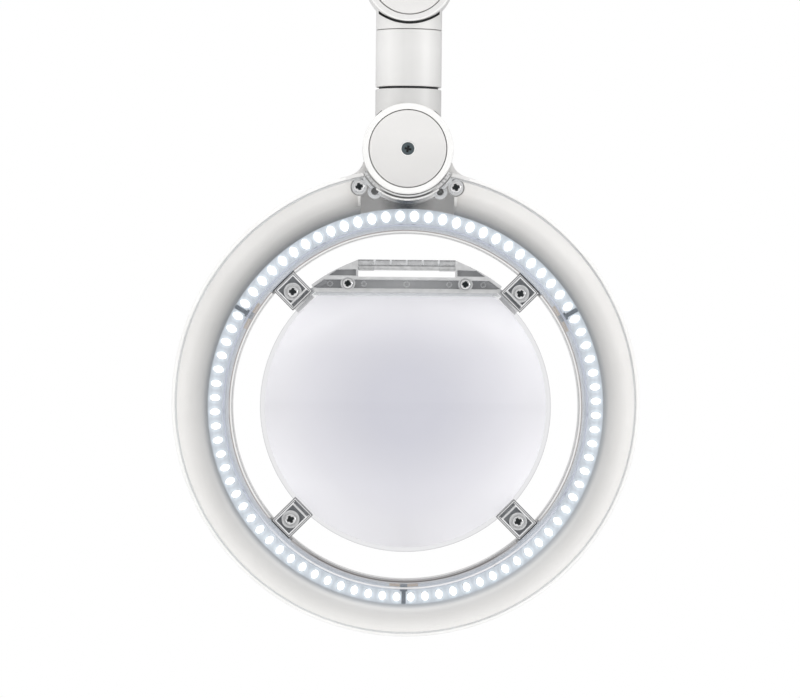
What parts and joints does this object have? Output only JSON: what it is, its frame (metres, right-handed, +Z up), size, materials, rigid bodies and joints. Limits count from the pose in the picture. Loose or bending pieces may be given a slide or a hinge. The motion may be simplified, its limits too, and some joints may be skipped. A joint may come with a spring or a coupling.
{
  "type": "magnifying lamp",
  "caption": "Ring-lit magnifying lamp: round lens in a white lighted ring on a jointed two-part arm with a desk clamp, and a flip lid behind the lens.",
  "frame": {"origin": "middle of the clamp jaw face that rests on the table top", "axes": "-Y is the lighted side of the head, +X is to the right of someone facing that side, +Z is up, and the arm goes up from the clamp and over to +X"},
  "size_m": [0.6092, 0.036, 0.6259],
  "materials": {
    "white_housing": "satin white moulded plastic",
    "white_cap": "satin white moulded plastic",
    "white_cove": "matte white reflector",
    "clear_plastic": "clear moulded plastic",
    "led_board": "white solder mask with white light-emitting diodes",
    "lens": "polished optical glass",
    "screw_steel": "bright plated steel",
    "dark_steel": "dark oxide steel",
    "lid_white": "satin white plastic",
    "circuit_board": "green solder mask",
    "dark_plastic": "matte dark plastic",
    "rubber": "matte rubber",
    "arm_white": "smooth white powder coat",
    "clamp_paint": "white powder coat"
  },
  "bodies": {
    "clamp": {"clamp_body": "clamp_paint", "post_bush": "dark_plastic"},
    "screw": {"clamp_screw": "screw_steel", "clamp_knob": "dark_plastic"},
    "pad": {"clamp_pad": "rubber"},
    "post": {"shoulder_fork": "white_housing", "shoulder_cap_front": "white_cap", "shoulder_cap_rear": "white_cap", "shoulder_bolt": "dark_steel", "shoulder_nut": "screw_steel"},
    "lower_arm": {"shoulder_tongue": "white_housing", "lower_arm_tube": "arm_white", "elbow_fork": "white_housing", "elbow_cap_front": "white_cap", "elbow_cap_rear": "white_cap", "elbow_bolt": "dark_steel", "elbow_nut": "screw_steel"},
    "upper_arm": {"elbow_tongue": "white_housing", "upper_arm_tube": "arm_white", "wrist_fork": "white_housing", "wrist_cap_front": "white_cap", "wrist_cap_rear": "white_cap", "wrist_bolt": "dark_steel", "wrist_nut": "screw_steel"},
    "neck": {"neck_saddle": "white_housing", "neck_sleeve": "white_housing"},
    "neck_foot": {"twist_spigot": "dark_plastic", "swivel_fork": "white_housing", "swivel_cap_front": "white_cap", "swivel_cap_rear": "white_cap", "swivel_bolt": "dark_steel", "swivel_nut": "screw_steel"},
    "head": {"bracket_screw_left": "screw_steel", "bracket_screw_right": "screw_steel", "clear_cover": "clear_plastic", "clip_lower_left": "clear_plastic", "clip_lower_right": "clear_plastic", "clip_screw_lower_left": "screw_steel", "clip_screw_lower_right": "screw_steel", "clip_screw_upper_left": "screw_steel", "clip_screw_upper_right": "screw_steel", "clip_upper_left": "clear_plastic", "clip_upper_right": "clear_plastic", "cover_screw_left": "screw_steel", "cover_screw_right": "screw_steel", "driver_board": "circuit_board", "head_housing": "white_housing", "led_board_left": "led_board", "led_board_right": "led_board", "led_board_top": "led_board", "lens_bracket": "clear_plastic", "lens_retainer": "clear_plastic", "lid_hinge_pin": "screw_steel", "magnifier_lens": "lens", "reflector_ring": "white_cove"},
    "lid": {"lens_lid": "lid_white"},
    "button": {"power_button": "dark_plastic"}
  },
  "joints": [
    {"name": "base_swivel", "type": "hinge", "parent": "clamp", "child": "post", "pos_m": [-0.01, 0, 0.04], "axis": [0, 0, 1], "range_deg": [-170, 170]},
    {"name": "shoulder", "type": "hinge", "parent": "post", "child": "lower_arm", "pos_m": [-0.01, 0, 0.09135], "axis": [0, 1, 0], "range_deg": [-50, 45], "stiffness_Nm_per_rad": 4, "springref_deg": -52.71},
    {"name": "elbow", "type": "hinge", "parent": "lower_arm", "child": "upper_arm", "pos_m": [0.0987, 0, 0.49704], "axis": [0, 1, 0], "range_deg": [-60, 12], "stiffness_Nm_per_rad": 3, "springref_deg": -49.45},
    {"name": "wrist", "type": "hinge", "parent": "upper_arm", "child": "neck", "pos_m": [0.46958, 0, 0.3472], "axis": [0, 1, 0], "range_deg": [-90, 25]},
    {"name": "neck_twist", "type": "hinge", "parent": "neck", "child": "neck_foot", "pos_m": [0.46958, 0, 0.2998], "axis": [0, 0, 1], "range_deg": [-120, 120]},
    {"name": "head_swivel", "type": "hinge", "parent": "neck_foot", "child": "head", "pos_m": [0.46958, 0, 0.272], "axis": [0, 1, 0], "range_deg": [-60, 60]},
    {"name": "lid_hinge", "type": "hinge", "parent": "head", "child": "lid", "pos_m": [0.46958, 0.008, 0.221], "axis": [1, 0, 0], "range_deg": [0, 110]},
    {"name": "power_button", "type": "slide", "parent": "head", "child": "button", "axis": [0, -1, 0], "range_m": [0, 0.0008], "stiffness_N_per_m": 900},
    {"name": "clamp_turn", "type": "hinge", "parent": "pad", "child": "screw", "pos_m": [-0.004, 0, -0.03], "axis": [0, 0, 1], "range_deg": [-721, 1081]},
    {"name": "clamp_travel", "type": "slide", "parent": "clamp", "child": "pad", "axis": [0, 0, 1], "range_m": [-0.008, 0.012]}
  ],
  "couplings": [
    {"joint": "clamp_turn", "follows": "clamp_travel", "rad_per_m": 1570.8}
  ]
}
